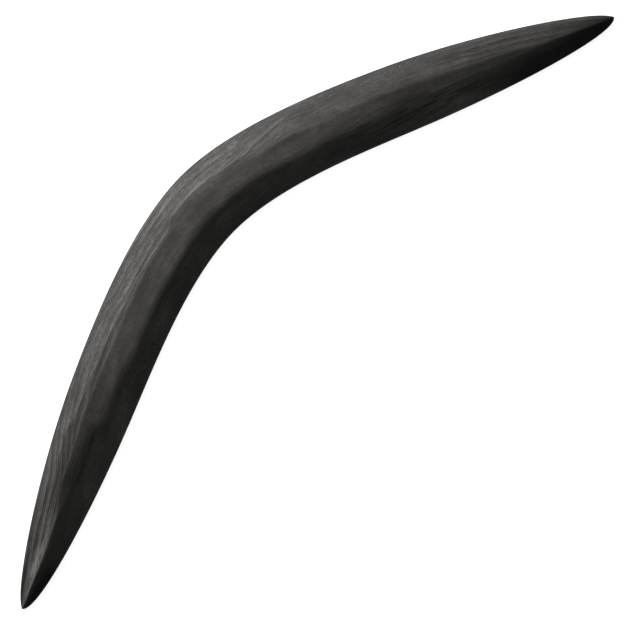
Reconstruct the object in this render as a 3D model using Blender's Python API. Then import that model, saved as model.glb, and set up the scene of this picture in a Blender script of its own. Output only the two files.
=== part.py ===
"""Boomerang carved from one bent piece of dark wood: flat underneath, bevelled on its upper face.

Frame: +X runs from tip to tip, +Y towards the elbow and +Z up out of the carved face. The origin
lies under the middle of the bounding box, on the plane that the underside rests on.
"""

import math

import bmesh
import bpy
import numpy as np

MM = 0.001

# Plan outline in millimetres. Both edges run from tip to tip and mirror left to right. Each is given
# by its heading at the left tip, its y and heading where the arms run straightest, and its y at the
# elbow.
HALF_SPAN = 250.0
TIPS_Y = -56.9
ARM_X = 130.0
OUTER_EDGE = (72.0, 20.0, 24.5, 59.0)
INNER_EDGE = (-64.0, -25.5, 21.5, 13.0)
# Lengths of the curves' handles, as shares of the straight distance between two anchors.
TIP_HANDLE = 0.08
ARM_HANDLE = 0.42
ELBOW_HANDLE = 0.30
LEFT_TIP = (-HALF_SPAN, TIPS_Y)
RIGHT_TIP = (HALF_SPAN, TIPS_Y)

# Places along the body count from 0 at the left tip to LENGTH at the right tip.
LENGTH = 529.0
# How far the ends of each section slide along the two edges, so that it lies square to its arm.
SQUARING = 8.3

# How the upper face is carved, against the distance from the left tip. Fractions of the width
# count from the outer edge. The outer bevel ends at `first`; a gentler facet of `slope` degrees
# follows up to `flat`; the flat leans `lean` degrees inwards and ends at `last`, where the inner
# bevel starts. `hollow` is how many degrees the outer bevel gains towards `flat` and loses towards
# the edge, and `round` and `blend` are how softly the flat's outer and inner corners turn.
CARVING = (
    # at, thickness, first, flat, slope, last, lean, hollow, round, blend
    (0.0, 1.8, 0.45, 0.47, 6.0, 0.48, 0.0, 3.0, 0.08, 0.08),
    (8.0, 3.3, 0.46, 0.48, 6.0, 0.49, 0.0, 8.0, 0.08, 0.08),
    (32.0, 5.1, 0.49, 0.51, 7.0, 0.53, 0.0, 8.0, 0.10, 0.10),
    (56.0, 6.4, 0.45, 0.49, 8.0, 0.52, 3.0, 3.0, 0.25, 0.20),
    (68.0, 6.9, 0.30, 0.42, 10.0, 0.52, 9.0, 0.0, 0.50, 0.35),
    (80.0, 7.3, 0.27, 0.37, 9.0, 0.54, 13.0, 0.0, 0.70, 0.60),
    (92.0, 7.7, 0.20, 0.375, 8.0, 0.56, 13.0, 0.0, 0.75, 0.70),
    (106.0, 8.1, 0.18, 0.365, 8.0, 0.56, 12.0, 0.0, 0.65, 0.80),
    (120.0, 8.5, 0.25, 0.350, 9.0, 0.60, 7.0, 0.0, 0.40, 1.00),
    (140.0, 8.8, 0.27, 0.360, 10.0, 0.63, 3.0, 0.0, 0.15, 1.20),
    (170.0, 9.1, 0.28, 0.375, 10.0, 0.67, 1.0, 0.0, 0.12, 1.50),
    (200.0, 9.3, 0.31, 0.355, 10.0, 0.67, 0.5, 0.0, 0.08, 1.50),
    (236.0, 9.4, 0.335, 0.362, 10.0, 0.655, 0.0, 0.0, 0.08, 1.30),
    (246.0, 9.4, 0.265, 0.43, 9.0, 0.645, 0.0, 0.0, 0.70, 1.50),
    (262.0, 9.4, 0.265, 0.45, 9.5, 0.655, 0.0, 0.0, 0.95, 1.50),
    (284.0, 9.4, 0.31, 0.44, 9.5, 0.65, 0.0, 0.0, 0.85, 1.20),
    (296.0, 9.4, 0.31, 0.43, 11.0, 0.64, 0.0, 0.0, 0.75, 1.20),
    (308.0, 9.3, 0.24, 0.405, 16.0, 0.655, 0.0, 0.0, 0.60, 1.60),
    (320.0, 9.3, 0.17, 0.385, 19.0, 0.675, 0.0, 0.0, 0.50, 1.80),
    (332.0, 9.2, 0.11, 0.365, 22.0, 0.675, 1.0, 0.0, 1.00, 1.70),
    (352.0, 9.1, 0.09, 0.375, 23.5, 0.67, 2.0, 0.0, 1.40, 1.70),
    (380.0, 8.8, 0.09, 0.355, 24.0, 0.65, 4.0, 0.0, 1.50, 1.70),
    (404.0, 8.4, 0.09, 0.355, 22.5, 0.61, 8.0, 0.0, 1.50, 1.50),
    (440.0, 7.6, 0.10, 0.395, 20.0, 0.57, 9.0, -2.0, 1.10, 1.10),
    (464.0, 6.8, 0.12, 0.405, 18.5, 0.53, 8.0, -3.0, 0.90, 0.80),
    (488.0, 5.7, 0.14, 0.45, 17.0, 0.50, 6.0, -10.0, 0.60, 0.60),
    (505.0, 4.8, 0.14, 0.45, 15.0, 0.49, 4.0, -10.0, 0.45, 0.30),
    (521.0, 3.3, 0.26, 0.44, 11.0, 0.48, 0.0, -4.0, 0.20, 0.20),
    (529.0, 1.8, 0.37, 0.45, 5.0, 0.48, 0.0, 0.0, 0.08, 0.08),
)
RIM_THICKNESS = 1.6
RIM_INSET = 0.8
RIM_INSET_MOST = 0.18

# Steps across each facet of the upper face: outer bevel, gentle facet, flat, inner bevel.
FACET_STEPS = (6, 3, 5, 6)
UNDERSIDE_STEPS = 5
STATIONS = 138
TIP_CROWDING = 0.94
TIP_REACH = 0.02
EDGE_SAMPLES = 400

CHARCOAL_WOOD = (0.050, 0.048, 0.045, 1.0)
WOOD_ROUGHNESS = 0.55


def clear_scene():
    for obj in list(bpy.data.objects):
        bpy.data.objects.remove(obj, do_unlink=True)


def new_collection(name):
    collection = bpy.data.collections.new(name)
    bpy.context.scene.collection.children.link(collection)
    return collection


def wood_material():
    material = bpy.data.materials.new("charcoal_wood")
    material.use_nodes = True
    shader = material.node_tree.nodes["Principled BSDF"]
    shader.inputs["Base Color"].default_value = CHARCOAL_WOOD
    shader.inputs["Roughness"].default_value = WOOD_ROUGHNESS
    shader.inputs["Metallic"].default_value = 0.0
    return material


def anchors(edge):
    """The five anchors of an edge, from tip to tip: x, y and heading in degrees."""
    tip_heading, arm_y, arm_heading, elbow_y = edge
    return (
        (*LEFT_TIP, tip_heading),
        (-ARM_X, arm_y, arm_heading),
        (0.0, elbow_y, 0.0),
        (ARM_X, arm_y, -arm_heading),
        (*RIGHT_TIP, -tip_heading),
    )


def span_curve(start, end, shares):
    """Points of the cubic between two anchors of an edge."""
    t = np.linspace(0.0, 1.0, EDGE_SAMPLES)[:, None]
    a = np.array(start[:2])
    d = np.array(end[:2])
    apart = np.linalg.norm(d - a)
    leaving = math.radians(start[2])
    arriving = math.radians(end[2])
    b = a + shares[0] * apart * np.array((math.cos(leaving), math.sin(leaving)))
    c = d - shares[1] * apart * np.array((math.cos(arriving), math.sin(arriving)))
    return a * (1 - t) ** 3 + b * 3 * (1 - t) ** 2 * t + c * 3 * (1 - t) * t**2 + d * t**3


def lengths_along(points):
    steps = np.linalg.norm(np.diff(points, axis=0), axis=1)
    return np.concatenate(([0.0], np.cumsum(steps)))


def at_lengths(points, wanted):
    """Points of a curve at these distances along it."""
    along = lengths_along(points)
    return np.column_stack([np.interp(wanted, along, points[:, k]) for k in (0, 1)])


def rail(edge):
    """Close points of a whole edge: as many, at even steps, between each two anchors."""
    to_elbow = (ELBOW_HANDLE, ELBOW_HANDLE)
    handles = ((TIP_HANDLE, ARM_HANDLE), to_elbow, to_elbow, (ARM_HANDLE, TIP_HANDLE))
    places = anchors(edge)
    points = [np.array([places[0][:2]])]
    for start, end, shares in zip(places, places[1:], handles):
        curve = span_curve(start, end, shares)
        points.append(at_lengths(curve, np.linspace(0.0, lengths_along(curve)[-1], EDGE_SAMPLES))[1:])
    return np.concatenate(points)


def station_places():
    """Where the sections stand, from 0 to 1: evenly, but close together at the round tips."""
    even = np.linspace(0.0, 1.0, STATIONS)
    pace = 1 - TIP_CROWDING * np.exp(-np.minimum(even, 1 - even) / TIP_REACH)
    so_far = np.concatenate(([0.0], np.cumsum((pace[1:] + pace[:-1]) / 2)))
    return so_far / so_far[-1]


def stations():
    """Matching points of the outer and the inner edge, and how far along the body they are."""
    rails = (rail(OUTER_EDGE), rail(INNER_EDGE))
    middle = lengths_along((rails[0] + rails[1]) / 2)
    places = station_places()
    squared = SQUARING * np.sin(2 * math.pi * places)
    ends = []
    for points, slide in zip(rails, (-squared, squared)):
        wanted = np.interp(places * middle[-1], middle, lengths_along(points))
        ends.append(at_lengths(points, wanted + slide))
    return *ends, places * LENGTH


def between_rows(rows, distance):
    """Every column of a table at this distance: smooth, and never past the values of its rows."""
    rows = np.array(rows)
    x = rows[:, 0]
    gaps = np.diff(x)
    k = int(np.clip(np.searchsorted(x, distance) - 1, 0, len(x) - 2))
    t = (distance - x[k]) / gaps[k]
    found = []
    for y in rows.T[1:]:
        rise = np.diff(y) / gaps
        before, after = rise[:-1], rise[1:]
        both = np.where(before * after > 0, before + after, 1.0)
        middle = np.where(before * after > 0, 2 * before * after / both, 0.0)
        slope = np.concatenate(([0.0], middle, [0.0]))
        ends = y[k] * (1 + 2 * t) * (1 - t) ** 2 + y[k + 1] * t**2 * (3 - 2 * t)
        leaning = slope[k] * t * (1 - t) ** 2 - slope[k + 1] * t**2 * (1 - t)
        found.append(float(ends + leaning * gaps[k]))
    return found


def soft_min(a, b, reach):
    h = np.clip(0.5 + 0.5 * (b - a) / reach, 0.0, 1.0)
    return b * (1 - h) + a * h - reach * h * (1 - h)


def upper_heights(d, width, inset, rim, row):
    """Heights of the carved face at distances `d` in from the outer edge."""
    thickness, first, flat, slope, last, lean, hollow, soft, blend = row
    first, flat, last = first * width, flat * width, last * width
    gentle, leaning = math.tan(math.radians(slope)), math.tan(math.radians(lean))
    at_first = thickness - gentle * (flat - first)
    at_last = thickness - leaning * (last - flat)
    outer = rim + (at_first - rim) * (d - inset) / (first - inset)
    second = thickness - gentle * (flat - d)
    top = thickness - leaning * np.maximum(d - flat, 0.0)
    inner = rim + (at_last - rim) * (width - d - inset) / (width - last - inset)
    height = soft_min(outer, second, 0.4 * soft + 0.04)
    height = soft_min(height, top, soft)
    height = soft_min(height, inner, blend)
    across = np.clip(d / flat, 0.0, 1.0)
    return height - math.tan(math.radians(hollow)) * flat * across * (1 - across)


def section(width, distance):
    """The closed outline of one section, as (distance in from the outer edge, height)."""
    row = between_rows(CARVING, distance)
    inset = min(RIM_INSET, RIM_INSET_MOST * width)
    rim = min(RIM_THICKNESS, row[0])
    corners = (inset, row[1] * width, row[2] * width, row[4] * width, width - inset)
    d = [np.linspace(a, b, n, endpoint=False) for a, b, n in zip(corners, corners[1:], FACET_STEPS)]
    d = np.concatenate((*d, [width - inset]))
    top = zip(d, upper_heights(d, width, inset, rim, row))
    underside = ((x, 0.0) for x in np.linspace(width - inset, inset, UNDERSIDE_STEPS + 1))
    return [(0.0, rim / 2), *top, (width, rim / 2), *underside]


def build_body(collection, material):
    outer, inner, distances = stations()
    mesh = bmesh.new()
    rings = []
    for k in range(1, len(outer) - 1):
        across = inner[k] - outer[k]
        width = float(np.linalg.norm(across))
        ring = []
        for inward, height in section(width, distances[k]):
            x, y = outer[k] + across * (inward / width)
            ring.append(mesh.verts.new((x * MM, y * MM, height * MM)))
        rings.append(ring)
    for ring, following in zip(rings, rings[1:]):
        for j in range(len(ring)):
            n = (j + 1) % len(ring)
            mesh.faces.new((ring[j], ring[n], following[n], following[j]))
    for tip, ring, turn in ((LEFT_TIP, rings[0], -1), (RIGHT_TIP, rings[-1], 1)):
        point = mesh.verts.new((tip[0] * MM, tip[1] * MM, RIM_THICKNESS / 2 * MM))
        for j in range(len(ring)):
            n = (j + 1) % len(ring)
            mesh.faces.new((point, ring[j], ring[n])[::turn])
    for face in mesh.faces:
        face.smooth = True
    data = bpy.data.meshes.new("carved_body")
    mesh.to_mesh(data)
    mesh.free()
    data.set_sharp_from_angle(angle=math.radians(25))
    data.materials.append(material)
    body = bpy.data.objects.new("carved_body", data)
    collection.objects.link(body)


clear_scene()
boomerang = new_collection("boomerang")
build_body(boomerang, wood_material())
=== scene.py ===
"""Boomerang carved from one bent piece of charcoal-coloured wood, on a pale floor.

The outline and the carving repeat the CAD part's own design values, in design millimetres, and
are scaled to the CAD node's box. The surface is then cut much finer than the CAD solid, with
the grain, the tool marks and the worn corners that the real wood shows. Its colour also holds
painted shade on the inner side and towards the tips, and painted highlights along the corners
and near the left tip.
"""
import math

import bpy
import numpy as np
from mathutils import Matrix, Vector


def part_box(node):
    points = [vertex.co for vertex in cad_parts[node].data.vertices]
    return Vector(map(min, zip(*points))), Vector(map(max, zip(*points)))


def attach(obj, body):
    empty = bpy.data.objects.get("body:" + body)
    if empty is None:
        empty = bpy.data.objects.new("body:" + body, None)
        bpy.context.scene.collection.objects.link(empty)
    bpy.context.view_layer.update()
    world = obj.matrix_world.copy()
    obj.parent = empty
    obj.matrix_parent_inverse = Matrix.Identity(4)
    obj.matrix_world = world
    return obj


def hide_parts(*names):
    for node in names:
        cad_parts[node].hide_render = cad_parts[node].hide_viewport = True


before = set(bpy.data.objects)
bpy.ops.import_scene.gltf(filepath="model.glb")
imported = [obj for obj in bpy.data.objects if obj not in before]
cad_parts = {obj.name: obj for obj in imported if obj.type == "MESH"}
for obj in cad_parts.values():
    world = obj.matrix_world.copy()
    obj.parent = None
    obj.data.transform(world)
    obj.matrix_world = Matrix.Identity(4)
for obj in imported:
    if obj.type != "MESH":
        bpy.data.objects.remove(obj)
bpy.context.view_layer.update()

NODE = "carved_body"
LOW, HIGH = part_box(NODE)
DESIGN_SPAN = 500.0
UNIT = (HIGH.x - LOW.x) / DESIGN_SPAN

# ---------------------------------------------------------------- shape, in design millimetres
# Plan outline in millimetres. Both edges run from tip to tip and mirror left to right. Each is given
# by its heading at the left tip, its y and heading where the arms run straightest, and its y at the
# elbow.
HALF_SPAN = DESIGN_SPAN / 2
TIPS_Y = -56.9
ARM_X = 130.0
OUTER_EDGE = (72.0, 20.0, 24.5, 59.0)
INNER_EDGE = (-64.0, -25.5, 21.5, 13.0)
# Lengths of the curves' handles, as shares of the straight distance between two anchors.
TIP_HANDLE = 0.08
ARM_HANDLE = 0.42
ELBOW_HANDLE = 0.30
LEFT_TIP = (-HALF_SPAN, TIPS_Y)
RIGHT_TIP = (HALF_SPAN, TIPS_Y)
# How the upper face is carved, against the distance from the left tip. Fractions of the width
# count from the outer edge. The outer bevel ends at `first`; a gentler facet of `slope` degrees
# follows up to `flat`; the flat leans `lean` degrees inwards and ends at `last`, where the inner
# bevel starts. `hollow` is how many degrees the outer bevel gains towards `flat` and loses towards
# the edge, and `round` and `blend` are how softly the flat's outer and inner corners turn.
CARVING = (
    # at, thickness, first, flat, slope, last, lean, hollow, round, blend
    (0.0, 1.8, 0.45, 0.47, 6.0, 0.48, 0.0, 3.0, 0.08, 0.08),
    (8.0, 3.3, 0.46, 0.48, 6.0, 0.49, 0.0, 8.0, 0.08, 0.08),
    (32.0, 5.1, 0.49, 0.51, 7.0, 0.53, 0.0, 8.0, 0.10, 0.10),
    (56.0, 6.4, 0.45, 0.49, 8.0, 0.52, 3.0, 3.0, 0.25, 0.20),
    (68.0, 6.9, 0.30, 0.42, 10.0, 0.52, 9.0, 0.0, 0.50, 0.35),
    (80.0, 7.3, 0.27, 0.37, 9.0, 0.54, 13.0, 0.0, 0.70, 0.60),
    (92.0, 7.7, 0.20, 0.375, 8.0, 0.56, 13.0, 0.0, 0.75, 0.70),
    (106.0, 8.1, 0.18, 0.365, 8.0, 0.56, 12.0, 0.0, 0.65, 0.80),
    (120.0, 8.5, 0.25, 0.350, 9.0, 0.60, 7.0, 0.0, 0.40, 1.00),
    (140.0, 8.8, 0.27, 0.360, 10.0, 0.63, 3.0, 0.0, 0.15, 1.20),
    (170.0, 9.1, 0.28, 0.375, 10.0, 0.67, 1.0, 0.0, 0.12, 1.50),
    (200.0, 9.3, 0.31, 0.355, 10.0, 0.67, 0.5, 0.0, 0.08, 1.50),
    (236.0, 9.4, 0.335, 0.362, 10.0, 0.655, 0.0, 0.0, 0.08, 1.30),
    (246.0, 9.4, 0.265, 0.43, 9.0, 0.645, 0.0, 0.0, 0.70, 1.50),
    (262.0, 9.4, 0.265, 0.45, 9.5, 0.655, 0.0, 0.0, 0.95, 1.50),
    (284.0, 9.4, 0.31, 0.44, 9.5, 0.65, 0.0, 0.0, 0.85, 1.20),
    (296.0, 9.4, 0.31, 0.43, 11.0, 0.64, 0.0, 0.0, 0.75, 1.20),
    (308.0, 9.3, 0.24, 0.405, 16.0, 0.655, 0.0, 0.0, 0.60, 1.60),
    (320.0, 9.3, 0.17, 0.385, 19.0, 0.675, 0.0, 0.0, 0.50, 1.80),
    (332.0, 9.2, 0.11, 0.365, 22.0, 0.675, 1.0, 0.0, 1.00, 1.70),
    (352.0, 9.1, 0.09, 0.375, 23.5, 0.67, 2.0, 0.0, 1.40, 1.70),
    (380.0, 8.8, 0.09, 0.355, 24.0, 0.65, 4.0, 0.0, 1.50, 1.70),
    (404.0, 8.4, 0.09, 0.355, 22.5, 0.61, 8.0, 0.0, 1.50, 1.50),
    (440.0, 7.6, 0.10, 0.395, 20.0, 0.57, 9.0, -2.0, 1.10, 1.10),
    (464.0, 6.8, 0.12, 0.405, 18.5, 0.53, 8.0, -3.0, 0.90, 0.80),
    (488.0, 5.7, 0.14, 0.45, 17.0, 0.50, 6.0, -10.0, 0.60, 0.60),
    (505.0, 4.8, 0.14, 0.45, 15.0, 0.49, 4.0, -10.0, 0.45, 0.30),
    (521.0, 3.3, 0.26, 0.44, 11.0, 0.48, 0.0, -4.0, 0.20, 0.20),
    (529.0, 1.8, 0.37, 0.45, 5.0, 0.48, 0.0, 0.0, 0.08, 0.08),
)
# How far the growth lines stray inwards from following the outer edge, at distances along the arms.
GRAIN_BEND = (
    (0.0, -1.5),
    (25.0, 1.0),
    (75.0, 1.0),
    (117.0, -7.0),
    (168.0, -10.0),
    (198.0, -6.5),
    (238.0, -5.5),
    (283.0, -4.0),
    (326.0, -10.5),
    (380.0, -12.5),
    (529.0, -13.0),
)
# How much painted shade darkens the inner bevel, the side turned away from the lamp, from none to all, at
# distances along the arms.
LEE_PAINTED_SHADE = (
    (0.0, 1.0),
    (20.0, 0.9),
    (45.0, 0.55),
    (100.0, 0.60),
    (132.0, 0.08),
    (320.0, 0.0),
    (365.0, 0.35),
    (445.0, 0.50),
    (480.0, 0.95),
    (529.0, 1.0),
)
RIM_THICKNESS = 1.6
RIM_INSET = 0.8
RIM_INSET_MOST = 0.18
RING_SPACING = 3.6
# Places along the body count from 0 at the left tip to LENGTH at the right tip.
LENGTH = 529.0
ELBOW_AT = 264.0
# Where the painted highlight beside the left arm's ridge is centred, from the left tip.
LEFT_HIGHLIGHT_AT = 26.0
# Where the flat's outer corner steps outwards, at the start of the elbow.
ELBOW_START = 236.0
# How far the ends of each section slide along the two edges, so that it lies square to its arm.
SQUARING = 8.3
EDGE_SAMPLES = 600
TIP_CROWDING = 0.94
TIP_REACH = 0.02
STATIONS = 620
ACROSS_TOP = 104
ACROSS_BELOW = 20
RIM_STEPS = 5
# The texture layer: strips along the body, and the height that each takes of the layer.
STRIPS = 3
TOP_STRIP = 0.25
BELOW_STRIP = 0.083
STRIP_GAP = 0.008


def anchors(edge):
    """The five anchors of an edge, from tip to tip: x, y and heading in degrees."""
    tip_heading, arm_y, arm_heading, elbow_y = edge
    return (
        (*LEFT_TIP, tip_heading),
        (-ARM_X, arm_y, arm_heading),
        (0.0, elbow_y, 0.0),
        (ARM_X, arm_y, -arm_heading),
        (*RIGHT_TIP, -tip_heading),
    )


def cubic(start, end, shares):
    """Points of the cubic between two anchors of an edge."""
    t = np.linspace(0.0, 1.0, EDGE_SAMPLES)[:, None]
    a = np.array(start[:2])
    d = np.array(end[:2])
    apart = np.linalg.norm(d - a)
    leaving, arriving = math.radians(start[2]), math.radians(end[2])
    b = a + shares[0] * apart * np.array((math.cos(leaving), math.sin(leaving)))
    c = d - shares[1] * apart * np.array((math.cos(arriving), math.sin(arriving)))
    return a * (1 - t) ** 3 + b * 3 * (1 - t) ** 2 * t + c * 3 * (1 - t) * t**2 + d * t**3


def lengths_along(points):
    steps = np.linalg.norm(np.diff(points, axis=0), axis=1)
    return np.concatenate(([0.0], np.cumsum(steps)))


def smooth(x):
    x = np.clip(x, 0.0, 1.0)
    return x * x * (3 - 2 * x)


def at_lengths(points, wanted):
    """Points of a curve at these distances along it."""
    along = lengths_along(points)
    return np.column_stack([np.interp(wanted, along, points[:, k]) for k in (0, 1)])


def rail(edge):
    """Close points of a whole edge: as many, at even steps, between each two anchors."""
    to_elbow = (ELBOW_HANDLE, ELBOW_HANDLE)
    handles = ((TIP_HANDLE, ARM_HANDLE), to_elbow, to_elbow, (ARM_HANDLE, TIP_HANDLE))
    places = anchors(edge)
    points = [np.array([places[0][:2]])]
    for start, end, shares in zip(places, places[1:], handles):
        curve = cubic(start, end, shares)
        points.append(at_lengths(curve, np.linspace(0.0, lengths_along(curve)[-1], EDGE_SAMPLES))[1:])
    return np.concatenate(points)


def stations():
    """Matching points of the outer and the inner edge, and how far along the body they are."""
    even = np.linspace(0.0, 1.0, STATIONS + 2)
    pace = 1 - TIP_CROWDING * np.exp(-np.minimum(even, 1 - even) / TIP_REACH)
    so_far = np.concatenate(([0.0], np.cumsum((pace[1:] + pace[:-1]) / 2)))
    places = so_far[1:-1] / so_far[-1]
    rails = (rail(OUTER_EDGE), rail(INNER_EDGE))
    middle = lengths_along((rails[0] + rails[1]) / 2)
    squared = SQUARING * np.sin(2 * math.pi * places)
    ends = []
    for points, slide in zip(rails, (-squared, squared)):
        wanted = np.interp(places * middle[-1], middle, lengths_along(points))
        ends.append(at_lengths(points, wanted + slide))
    return *ends, places * LENGTH


def between_rows(rows, distance):
    """Every column of a table at these distances: smooth, and never past the values of its rows."""
    rows = np.array(rows)
    x = rows[:, 0]
    gaps = np.diff(x)
    k = np.clip(np.searchsorted(x, distance) - 1, 0, len(x) - 2)
    t = np.clip((distance - x[k]) / gaps[k], 0.0, 1.0)
    found = []
    for y in rows.T[1:]:
        rise = np.diff(y) / gaps
        before, after = rise[:-1], rise[1:]
        both = np.where(before * after > 0, before + after, 1.0)
        middle = np.where(before * after > 0, 2 * before * after / both, 0.0)
        slope = np.concatenate(([0.0], middle, [0.0]))
        ends = y[k] * (1 + 2 * t) * (1 - t) ** 2 + y[k + 1] * t**2 * (3 - 2 * t)
        leaning = slope[k] * t * (1 - t) ** 2 - slope[k + 1] * t**2 * (1 - t)
        found.append(ends + leaning * gaps[k])
    return found


# ---------------------------------------------------------------- noise for the wood's relief
def hashed(i, j, seed):
    mask = np.uint64(0xFFFFFFFF)
    i = (i.astype(np.int64) & 0xFFFFFFFF).astype(np.uint64)
    j = (j.astype(np.int64) & 0xFFFFFFFF).astype(np.uint64)
    h = (i * np.uint64(374761393) + j * np.uint64(668265263) + np.uint64(seed * 69069 + 7)) & mask
    h = ((h ^ (h >> np.uint64(13))) * np.uint64(1274126177)) & mask
    h = h ^ (h >> np.uint64(16))
    return h.astype(np.float64) / float(0xFFFFFFFF) * 2 - 1


def noise(x, y, seed):
    """Smooth noise from -1 to 1, one cell per unit."""
    i, j = np.floor(x), np.floor(y)
    u, v = smooth(x - i), smooth(y - j)
    a = hashed(i, j, seed) * (1 - u) + hashed(i + 1, j, seed) * u
    b = hashed(i, j + 1, seed) * (1 - u) + hashed(i + 1, j + 1, seed) * u
    return a * (1 - v) + b * v


def layered(x, y, seed, octaves=3, gain=0.5):
    total, size, most = 0.0, 1.0, 0.0
    for k in range(octaves):
        total = total + size * noise(x * 2**k + 31.7 * k, y * 2**k + 11.3 * k, seed + k)
        most += size
        size *= gain
    return total / most


# ---------------------------------------------------------------- the carved surface
def soft_min(a, b, reach):
    h = np.clip(0.5 + 0.5 * (b - a) / reach, 0.0, 1.0)
    return b * (1 - h) + a * h - reach * h * (1 - h)


def wander(s, reach, seed):
    """Slow unevenness along the arms, from -1 to 1."""
    return noise(s / reach, s * 0 + 0.5 + seed * 3.7, seed)


def upper_height(s, f, width, row):
    """Height of the carved face before any relief, and where its facets turn."""
    thickness, first, flat, slope, last, lean, hollow, soft, blend = row
    inset = np.minimum(RIM_INSET, RIM_INSET_MOST * width)
    rim = np.minimum(RIM_THICKNESS, thickness)
    uneven = smooth(s / 60.0) * smooth((LENGTH - s) / 60.0)
    first = first + uneven * (0.006 * wander(s, 23.0, 11) + 0.003 * wander(s, 7.0, 12))
    flat = flat + uneven * (0.006 * wander(s, 26.0, 13) + 0.003 * wander(s, 8.0, 14))
    last = last + uneven * (0.016 * wander(s, 29.0, 15) + 0.009 * wander(s, 10.0, 16))
    flat = np.maximum(flat, first + 0.012)
    d = f * width
    reach = np.maximum(flat * width, 0.05)
    step = np.tan(np.radians(slope)) * (flat - first) * width
    at_first = thickness - step
    outer = rim + (at_first - rim) * (d - inset) / np.maximum(first * width - inset, 0.05)
    second = thickness - np.tan(np.radians(slope)) * (flat - f) * width
    top = thickness - np.tan(np.radians(lean)) * np.maximum(f - flat, 0.0) * width
    at_last = thickness - np.tan(np.radians(lean)) * (last - flat) * width
    inner = rim + (at_last - rim) * (width - d - inset) / np.maximum((1 - last) * width - inset, 0.05)
    height = soft_min(outer, second, 0.4 * soft + 0.04)
    height = soft_min(height, top, soft)
    height = soft_min(height, inner, blend)
    across = np.clip(d / reach, 0.0, 1.0)
    scooped = np.tan(np.radians(hollow)) * reach * across * (1 - across)
    return height - scooped, first, flat, last


def rings(s, growth):
    """Growth rings cut by the bevels: the whole part counts rings, the rest is the way across one."""
    stray = 0.6 * noise(s / 47.0, growth / 8.0, 41) + 0.40 * noise(s / 16.0, growth / 4.0, 42)
    stray += 0.18 * noise(s / 5.0, growth / 1.6, 44)
    return (growth + stray) / RING_SPACING


def relief(s, growth, f, width, first, flat, last):
    """Height of rings, grain and tool marks over the carved face, and the masks the material uses."""
    at_elbow = smooth((s - 238.0) / 10.0) * smooth((312.0 - s) / 30.0)
    bevel = smooth((flat - (flat - first) * at_elbow - f) * width / 1.2 + 0.5)
    lee = smooth((f - last) * width / 3.0 + 0.5)
    count = rings(s, growth)
    phase = count - np.floor(count)
    lively = 0.50 + 0.65 * smooth((345.0 - s) / 45.0) + 0.85 * np.exp(-(((s - 465.0) / 38.0) ** 2))
    lively = lively + 0.75 * smooth((118.0 - s) / 40.0) - 0.42 * smooth((s - ELBOW_START) / 10.0)
    gate = 0.45 + 0.55 * smooth(0.55 + 0.9 * noise(s / 30.0, growth / 3.6, 43))
    figure = bevel * lively * gate
    flutes = 0.40 * (phase * phase - phase)
    waves = 0.070 * layered(s / 24.0, growth / 3.2, 21, 2)
    fibres = 0.030 * layered(s / 6.5, growth / 1.1, 24, 3)
    knife = 0.055 * noise(s / 15.0, f * 3.0, 31) + 0.050 * noise(s / 41.0, f * 4.0, 33)
    dimples = 0.022 * layered(s / 3.6, f * width / 3.0, 35, 2)
    # Open pores on the inner side: a long patch of them on the right arm, a short row on the left.
    pits = 0.85 * np.exp(-(((s - 408.0) / 66.0) ** 2) - ((f - 0.73) / 0.20) ** 2)
    pits += 1.3 * np.exp(-(((s - 94.0) / 20.0) ** 2) - ((f - 0.565) / 0.045) ** 2)
    crest = crest_line(s, f, width, first)
    edge = np.minimum(f, 1 - f) * width
    fade = smooth(edge / 1.4) * smooth(s / 9.0) * smooth((LENGTH - s) / 9.0)
    carved = figure * flutes + bevel * (waves + fibres) + (1 - bevel) * (0.25 * waves + 0.2 * fibres)
    total = (carved + knife + dimples + 0.04 * crest) * fade
    return total, bevel, lee, pits, count, crest, figure


def crest_line(s, f, width, first):
    """A low crest where the left arm's bevel ends: it runs on past the elbow and off the edge."""
    along = 0.45 * smooth((s - 130.0) / 40.0) + 0.55 * smooth((s - 234.0) / 10.0)
    along = along * smooth((336.0 - s) / 14.0)
    return along * np.exp(-(((f - first) * width / 0.6) ** 2))


def unrolled(s_at, n_ring):
    """Texture places of every face corner: the body unrolled and cut into strips, tip to tip.

    The carved face takes wide strips, one above the other, and the rims and underside narrow ones.
    """
    rows = len(s_at)
    strip = np.arange(rows - 1) * STRIPS // (rows - 1)
    cuts = [int(np.argmax(strip == k)) for k in range(STRIPS)] + [rows - 1]
    starts, ends = s_at[cuts[:-1]][strip], s_at[cuts[1:]][strip]
    left = 0.01 + 0.98 * (s_at[:-1] - starts) / (ends - starts)
    right = 0.01 + 0.98 * (s_at[1:] - starts) / (ends - starts)

    below = np.arange(n_ring) >= ACROSS_TOP - 1
    step = np.where(below, np.arange(n_ring) - (ACROSS_TOP - 1), np.arange(n_ring))
    steps = np.where(below, n_ring - (ACROSS_TOP - 1), ACROSS_TOP - 1)
    tall = np.where(below, BELOW_STRIP, TOP_STRIP) - STRIP_GAP

    def heights(strips, along):
        base = np.where(below, STRIPS * TOP_STRIP + strips * BELOW_STRIP, strips * TOP_STRIP)
        return STRIP_GAP / 2 + base + tall * (step + along) / steps

    low, high = heights(strip[:, None], 0), heights(strip[:, None], 1)
    left, right = left[:, None] + 0 * low, right[:, None] + 0 * low
    quads = np.stack([left, low, right, low, right, high, left, high], axis=2).reshape(-1, 2)
    tips = []
    for place, k, first, second in ((0.01, 0, 0, 1), (0.99, STRIPS - 1, 1, 0)):
        centre = heights(k, 0.5)
        outside = place + 0 * centre
        pole = 0.5 * place + 0.5 * round(place) + 0 * centre
        corners = [pole, centre, outside, heights(k, first), outside, heights(k, second)]
        tips.append(np.stack(corners, axis=1).reshape(-1, 2))
    return np.concatenate([quads, *tips])


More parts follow.
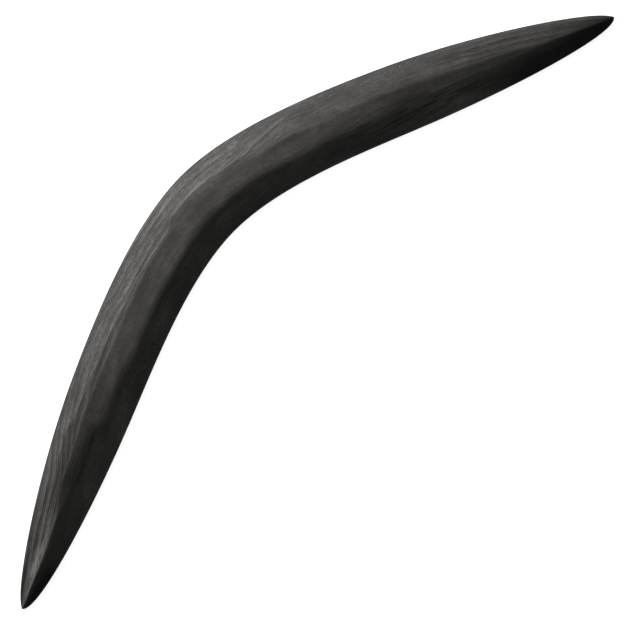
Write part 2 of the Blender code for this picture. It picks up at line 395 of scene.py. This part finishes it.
def build_body():
    """The whole boomerang as one closed mesh, with what its material reads stored on its points."""
    outer, inner, s_at = stations()
    across = inner - outer
    width = np.linalg.norm(across, axis=1)
    row = between_rows(CARVING, s_at)
    rim = np.minimum(RIM_THICKNESS, row[0])
    inset = np.minimum(RIM_INSET, RIM_INSET_MOST * width)

    g = np.linspace(0.0, 1.0, ACROSS_TOP)
    S = s_at[:, None] + 0 * g[None, :]
    W = width[:, None]
    F = (inset[:, None] + (W - 2 * inset[:, None]) * g[None, :]) / W
    base, first, flat, last = upper_height(S, F, W, [column[:, None] for column in row])
    bend = between_rows(GRAIN_BEND, s_at)[0][:, None]
    found = relief(S, F * W - bend, F, W, first, flat, last)
    marks, outer_mask, inner_mask, pits, count, crest, figure = found
    top = np.maximum(base + marks, 0.4)

    turn = np.linspace(0.0, math.pi, RIM_STEPS + 2)[1:-1]
    rim_in = inset[:, None] * (1 - np.sin(turn))[None, :]
    rim_z = rim[:, None] * (0.5 + 0.5 * np.cos(turn))[None, :]
    b = np.linspace(0.0, 1.0, ACROSS_BELOW)
    below_f = 1 - (inset[:, None] + (W - 2 * inset[:, None]) * b[None, :]) / W
    below_z = 0 * below_f
    # Ring order: top from outer to inner, inner rim down, underside back, outer rim up.
    ring_f = np.concatenate([F, 1 - rim_in / W, below_f, rim_in[:, ::-1] / W], axis=1)
    ring_z = np.concatenate([top, rim_z, below_z, rim_z[:, ::-1]], axis=1)
    n_ring = ring_f.shape[1]
    xy = outer[:, None, :] + across[:, None, :] * ring_f[:, :, None]
    points = np.concatenate([xy, ring_z[:, :, None]], axis=2).reshape(-1, 3)
    ring_s = s_at[:, None] + 0 * ring_f
    grain = np.stack([ring_s, ring_f * W - bend, ring_z], axis=2).reshape(-1, 3)

    slanting = 0.16 * (ring_s - ELBOW_AT) * smooth((ring_s - ELBOW_AT) / 80.0)
    slant = np.stack([ring_s, ring_f * W + slanting, ring_z], axis=2).reshape(-1, 3)

    plain = np.zeros((len(s_at), n_ring - ACROSS_TOP))
    # Pale lines along the flat's corners are partly wear and partly painted highlight. At the elbow the
    # flat's outer corner turns too softly for one: the crest gets the pale line there instead.
    crisp = 1 - smooth((S - 232.0) / 8.0) * smooth((330.0 - S) / 20.0)
    corner = 0.55 * crisp * np.exp(-(((F - flat) * W / 0.8) ** 2))
    corner += 0.3 * np.exp(-(((F - last) * W / 0.8) ** 2))
    edge_near = np.exp(-((np.minimum(ring_f, 1 - ring_f) * W / 0.7) ** 2))
    # Painted highlight: a pale patch on the outer bevel near the left tip, where light catches the hollow
    # beside the ridge.
    highlight_at = 0.38 + 0.003 * (S - LEFT_HIGHLIGHT_AT)
    painted_highlight = np.exp(-(((S - LEFT_HIGHLIGHT_AT) / 17.0) ** 2) - ((F - highlight_at) / 0.11) ** 2)
    # Painted shade: colour darkened on the inner bevel, along the inner edge, over the inner side towards
    # both tips, at the right tip and on the outer side at the left tip.
    painted_shade = inner_mask * between_rows(LEE_PAINTED_SHADE, s_at)[0][:, None] + 0.75 * smooth((S - 488.0) / 38.0)
    near_tips = smooth((S - 432.0) / 72.0) + smooth((36.0 - S) / 24.0)
    painted_shade += smooth((F - 0.60) / 0.25) * near_tips
    painted_shade += 0.5 * smooth((F - 0.72) / 0.28) * smooth((S - 440.0) / 60.0)
    painted_shade += 0.5 * smooth((F - 0.82) / 0.14) * smooth((S - 150.0) / 50.0) * smooth((320.0 - S) / 50.0)
    painted_shade += 0.95 * smooth((0.38 - F) / 0.14) * np.exp(-(((S - 10.0) / 16.0) ** 2))
    # Painted shade: a darker patch beside the left arm's flat, which stops short where the flat widens.
    patch = smooth((S - 66.0) / 22.0) * smooth((124.0 - S) / 12.0)
    painted_shade += 0.62 * patch * np.exp(-(((F - 0.54) / 0.10) ** 2))
    painted_shade = np.clip(painted_shade, 0.0, 1.8)
    # The painted shade runs on over the inner rim, and an edge that it covers gets no pale line of wear and
    # highlight.
    inner_rim = painted_shade[:, -1:] + np.zeros(RIM_STEPS)
    painted_shade = np.concatenate([painted_shade, inner_rim, plain[:, RIM_STEPS:]], axis=1)
    # Paler edges, flat corners and crest: partly wear, partly painted highlight.
    wear_and_highlight = np.maximum(np.concatenate([np.maximum(corner, 1.5 * crest), plain], axis=1), edge_near)
    wear_and_highlight *= 1 - 0.8 * np.minimum(painted_shade, 1.0)

    tip_index = len(points)
    tips = np.array([(*LEFT_TIP, RIM_THICKNESS / 2), (*RIGHT_TIP, RIM_THICKNESS / 2)])
    points = np.concatenate([points, tips])
    ends = [(0.0, 0.0, RIM_THICKNESS / 2), (LENGTH, 0.0, RIM_THICKNESS / 2)]

    rows = len(s_at)
    idx = np.arange(rows * n_ring).reshape(rows, n_ring)
    nxt = np.roll(idx, -1, axis=1)
    quads = np.stack([idx[:-1], idx[1:], nxt[1:], nxt[:-1]], axis=2).reshape(-1, 4)
    faces = quads.tolist()
    faces += [[tip_index, int(idx[0, j]), int(nxt[0, j])] for j in range(n_ring)]
    faces += [[tip_index + 1, int(nxt[-1, j]), int(idx[-1, j])] for j in range(n_ring)]
    mesh = bpy.data.meshes.new("boomerang_wood")
    mesh.from_pydata((points * UNIT).tolist(), [], faces)
    mesh.update()
    mesh.polygons.foreach_set("use_smooth", np.ones(len(mesh.polygons), bool))

    def store(name, kind, values):
        layer = mesh.attributes.new(name, kind, "POINT")
        key = "vector" if kind == "FLOAT_VECTOR" else "value"
        layer.data.foreach_set(key, np.asarray(values, np.float32).ravel())

    store("grain", "FLOAT_VECTOR", np.concatenate([grain, ends]) * UNIT)
    store("slant", "FLOAT_VECTOR", np.concatenate([slant, ends]) * UNIT)
    masks = (
        ("bevel", outer_mask),
        ("figure", figure),
        ("pits", pits),
        ("ring", count),
        ("highlight_patch", painted_highlight),
    )
    rings_of = [(name, np.concatenate([values, plain], axis=1)) for name, values in masks]
    for name, values in (*rings_of, ("painted_shade_amount", painted_shade), ("wear_and_highlight", wear_and_highlight)):
        store(name, "FLOAT", np.concatenate([values.ravel(), [0.0, 0.0]]))
    mesh.uv_layers.new(name="OFBake").data.foreach_set("uv", unrolled(s_at, n_ring).ravel())
    obj = bpy.data.objects.new("boomerang_wood", mesh)
    bpy.context.scene.collection.objects.link(obj)
    return obj


# ---------------------------------------------------------------- material
class Nodes:
    def __init__(self, tree):
        self.tree = tree

    def add(self, kind, **settings):
        node = self.tree.nodes.new(kind)
        for name, value in settings.items():
            setattr(node, name, value)
        return node

    def link(self, a, b):
        self.tree.links.new(a, b)

    def value(self, target, x):
        if isinstance(x, bpy.types.NodeSocket):
            self.link(x, target)
        else:
            target.default_value = x

    def math(self, operation, a, b=0.0, c=0.0, clamp=False):
        node = self.add("ShaderNodeMath", operation=operation, use_clamp=clamp)
        for socket, x in zip(node.inputs, (a, b, c)):
            self.value(socket, x)
        return node.outputs[0]

    def scaled(self, vector, scale):
        node = self.add("ShaderNodeVectorMath", operation="MULTIPLY")
        self.link(vector, node.inputs[0])
        node.inputs[1].default_value = scale
        return node.outputs[0]

    def noise(self, vector, scale, detail=3.0, roughness=0.55, distortion=0.0):
        node = self.add("ShaderNodeTexNoise")
        self.link(self.scaled(vector, scale), node.inputs["Vector"])
        node.inputs["Scale"].default_value = 1.0
        node.inputs["Detail"].default_value = detail
        node.inputs["Roughness"].default_value = roughness
        node.inputs["Distortion"].default_value = distortion
        return node.outputs["Fac"]

    def ramp(self, fac, stops):
        node = self.add("ShaderNodeValToRGB")
        elements = node.color_ramp.elements
        while len(elements) < len(stops):
            elements.new(0.5)
        for element, (position, colour) in zip(elements, stops):
            element.position = position
            element.color = (*colour, 1.0)
        self.link(fac, node.inputs["Fac"])
        return node.outputs["Color"]

    def remap(self, x, low, high, to_low=0.0, to_high=1.0):
        node = self.add("ShaderNodeMapRange", interpolation_type="SMOOTHSTEP")
        self.value(node.inputs["Value"], x)
        for name, v in (("From Min", low), ("From Max", high), ("To Min", to_low), ("To Max", to_high)):
            node.inputs[name].default_value = v
        return node.outputs["Result"]

    def attribute(self, name):
        return self.add("ShaderNodeAttribute", attribute_name=name)

    def mixed(self, blend, factor, a, b):
        node = self.add("ShaderNodeMix", data_type="RGBA", blend_type=blend)
        self.link(factor, node.inputs["Factor"])
        self.link(a, node.inputs[6])
        node.inputs[7].default_value = (*b, 1.0)
        return node.outputs[2]

    def line(self, count, times, width):
        """1 where count times `times` is whole, down to 0 at `width` of a cycle away from it."""
        phase = self.math("FRACT", self.math("MULTIPLY_ADD", count, times, 0.5))
        away = self.math("ABSOLUTE", self.math("SUBTRACT", phase, 0.5))
        return self.remap(away, width, 0.0)


def wood_material():
    material = bpy.data.materials.new("charcoal_wood")
    material.use_nodes = True
    n = Nodes(material.node_tree)
    shader = material.node_tree.nodes["Principled BSDF"]
    grain = n.attribute("grain").outputs["Vector"]
    bevel = n.attribute("bevel").outputs["Fac"]

    fibres = n.noise(grain, (140.0, 1250.0, 900.0), 4.0, 0.62)
    flecks = n.noise(grain, (420.0, 1150.0, 900.0), 3.0, 0.6)
    streaks = n.noise(grain, (26.0, 300.0, 200.0), 3.0, 0.6, 0.2)
    mottle = n.noise(grain, (60.0, 95.0, 95.0), 4.0, 0.6)
    smudges = n.noise(grain, (22.0, 110.0, 110.0), 3.0, 0.55)
    pores = n.remap(n.noise(grain, (260.0, 1100.0, 900.0), 2.0, 0.5), 0.345, 0.27)
    pores = n.math("MULTIPLY", pores, n.remap(mottle, 0.42, 0.58))

    # Each growth ring stands out as a thin pale line, broken along its length.
    ring = n.attribute("ring").outputs["Fac"]
    lines = n.math("MAXIMUM", n.line(ring, 1.0, 0.11), n.math("MULTIPLY", n.line(ring, 3.0, 0.24), 0.55))
    broken = n.remap(n.noise(grain, (38.0, 300.0, 200.0), 3.0, 0.6), 0.38, 0.56)
    figure = n.attribute("figure").outputs["Fac"]
    lines = n.math("MULTIPLY", n.math("MULTIPLY", lines, broken), figure)
    # Each ring is darker where it begins, and paler up to the line where it ends.
    banded = n.math("SUBTRACT", n.math("FRACT", ring), 0.55)

    lively = n.remap(bevel, 0.0, 1.0, 0.35, 1.0)
    tone = n.math("MULTIPLY_ADD", fibres, 0.45, n.math("MULTIPLY", streaks, 0.45))
    tone = n.math("MULTIPLY", n.math("SUBTRACT", tone, 0.45), lively)
    tone = n.math("MULTIPLY_ADD", n.math("SUBTRACT", flecks, 0.5), n.remap(bevel, 0.0, 1.0, 0.5, 0.65), tone)
    tone = n.math("MULTIPLY_ADD", n.math("SUBTRACT", mottle, 0.5), 0.60, tone)
    tone = n.math("MULTIPLY_ADD", n.math("SUBTRACT", smudges, 0.5), n.remap(bevel, 0.0, 1.0, 0.65, 0.3), tone)
    tone = n.math("MULTIPLY_ADD", n.math("MULTIPLY", banded, figure), 0.34, tone)
    tone = n.math("MULTIPLY_ADD", lines, 0.52, n.math("MULTIPLY_ADD", bevel, -0.075, tone))
    tone = n.math("ADD", tone, 0.5)
    colour = n.ramp(
        tone,
        (
            (0.15, (0.0215, 0.0205, 0.0189)),
            (0.50, (0.0485, 0.0466, 0.0434)),
            (0.85, (0.102, 0.0981, 0.0915)),
        ),
    )
    slant = n.attribute("slant").outputs["Vector"]
    pitted = n.remap(n.noise(slant, (52.0, 700.0, 500.0), 2.0, 0.5, 0.2), 0.505, 0.59)
    pitted = n.math("MULTIPLY", n.attribute("pits").outputs["Fac"], pitted)
    hollow = n.math("MAXIMUM", n.math("MULTIPLY", pores, 0.7), pitted)
    colour = n.mixed("MULTIPLY", hollow, colour, (0.22, 0.22, 0.22))
    # Painted shade: the colour darkens to near black where the painted shade amount is high.
    painted_shade_amount = n.math("MULTIPLY", n.attribute("painted_shade_amount").outputs["Fac"], 0.72, clamp=True)
    colour = n.mixed("MULTIPLY", painted_shade_amount, colour, (0.05, 0.05, 0.05))
    # Painted highlight: a pale patch near the left tip's ridge.
    highlight_patch = n.math("MULTIPLY", n.attribute("highlight_patch").outputs["Fac"], n.remap(fibres, 0.37, 0.55))
    # Paler edges and corners: partly wear, partly painted highlight.
    rubbed_and_highlighted = n.math("MULTIPLY", n.attribute("wear_and_highlight").outputs["Fac"], n.remap(streaks, 0.35, 0.7, 0.15, 0.8))
    colour = n.mixed("MIX", rubbed_and_highlighted, colour, (0.122, 0.117, 0.109))
    colour = n.mixed("MIX", n.math("MULTIPLY", highlight_patch, 0.95), colour, (0.195, 0.187, 0.175))
    n.link(colour, shader.inputs["Base Color"])

    rough = n.remap(tone, 0.3, 0.7, 0.78, 0.62)
    n.link(rough, shader.inputs["Roughness"])
    shader.inputs["Specular IOR Level"].default_value = 0.35
    shader.inputs["Metallic"].default_value = 0.0

    height = n.math("MULTIPLY_ADD", fibres, 0.8, n.math("MULTIPLY", pores, -0.5))
    height = n.math("MULTIPLY_ADD", flecks, 0.6, height)
    height = n.math("MULTIPLY_ADD", lines, 0.5, n.math("MULTIPLY_ADD", pitted, -0.8, height))
    bump = n.add("ShaderNodeBump")
    bump.inputs["Distance"].default_value = 0.00016
    n.link(n.remap(bevel, 0.0, 1.0, 0.35, 1.0), bump.inputs["Strength"])
    n.link(height, bump.inputs["Height"])
    n.link(bump.outputs["Normal"], shader.inputs["Normal"])
    return material


# ---------------------------------------------------------------- floor, light and camera
FLOOR_SIZE = 12.0
FLOOR_GAP = 0.0001
FLOOR_GLOW = 0.9
KEY_ELEVATION = 27.0
KEY_REACH = 0.62
KEY_SIZE = (0.55, 0.16)
KEY_POWER = 7.75
WORLD_LIGHT = 0.065
LENS = 85.0
SENSOR = 36.0
# Width of what the camera sees, and the point on the floor that it looks straight down on.
FRAME_WIDTH = 373.75 * UNIT
AIM = (-2.1 * UNIT, -54.4 * UNIT)
CAMERA_TURN = -45.0


def build_floor():
    bpy.ops.mesh.primitive_plane_add(size=FLOOR_SIZE, location=(0.0, 0.0, LOW.z - FLOOR_GAP))
    floor = bpy.context.object
    floor.name = "floor"
    material = bpy.data.materials.new("pale_floor")
    material.use_nodes = True
    shader = material.node_tree.nodes["Principled BSDF"]
    shader.inputs["Base Color"].default_value = (0.9, 0.9, 0.9, 1.0)
    shader.inputs["Roughness"].default_value = 0.9
    shader.inputs["Specular IOR Level"].default_value = 0.1
    shader.inputs["Emission Color"].default_value = (1.0, 1.0, 1.0, 1.0)
    shader.inputs["Emission Strength"].default_value = FLOOR_GLOW
    floor.data.materials.append(material)


def area_light(name, place, target, size, power):
    data = bpy.data.lights.new(name, "AREA")
    data.shape = "RECTANGLE"
    data.size, data.size_y = size
    data.energy = power
    light = bpy.data.objects.new(name, data)
    light.location = place
    aim = Vector(target) - Vector(place)
    light.rotation_euler = aim.to_track_quat("-Z", "Y").to_euler()
    bpy.context.scene.collection.objects.link(light)


def build_lights():
    """One long soft lamp on the outer side of the elbow, and a faint even light from all round."""
    elevation = math.radians(KEY_ELEVATION)
    place = (-0.02, 0.04 + KEY_REACH * math.cos(elevation), KEY_REACH * math.sin(elevation))
    area_light("key", place, (0.0, 0.0, 0.0), KEY_SIZE, KEY_POWER)
    world = bpy.data.worlds.new("studio")
    world.use_nodes = True
    tree = world.node_tree
    background = tree.nodes["Background"]
    background.inputs["Color"].default_value = (1.0, 1.0, 1.0, 1.0)
    background.inputs["Strength"].default_value = WORLD_LIGHT
    seen = tree.nodes.new("ShaderNodeBackground")
    seen.inputs["Color"].default_value = (1.0, 1.0, 1.0, 1.0)
    seen.inputs["Strength"].default_value = 1.0
    path = tree.nodes.new("ShaderNodeLightPath")
    mix = tree.nodes.new("ShaderNodeMixShader")
    tree.links.new(path.outputs["Is Camera Ray"], mix.inputs["Fac"])
    tree.links.new(background.outputs[0], mix.inputs[1])
    tree.links.new(seen.outputs[0], mix.inputs[2])
    tree.links.new(mix.outputs[0], tree.nodes["World Output"].inputs["Surface"])
    bpy.context.scene.world = world
    bpy.context.scene.view_settings.view_transform = "Standard"
    bpy.context.scene.view_settings.look = "None"


def build_camera():
    data = bpy.data.cameras.new("camera")
    data.lens = LENS
    data.sensor_width = SENSOR
    camera = bpy.data.objects.new("camera", data)
    camera.location = (AIM[0], AIM[1], LOW.z + FRAME_WIDTH * LENS / SENSOR)
    camera.rotation_euler = (0.0, 0.0, math.radians(CAMERA_TURN))
    bpy.context.scene.collection.objects.link(camera)
    bpy.context.scene.camera = camera


body = build_body()
body.data.materials.append(wood_material())
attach(body, "root")
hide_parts(NODE)
build_floor()
build_lights()
build_camera()
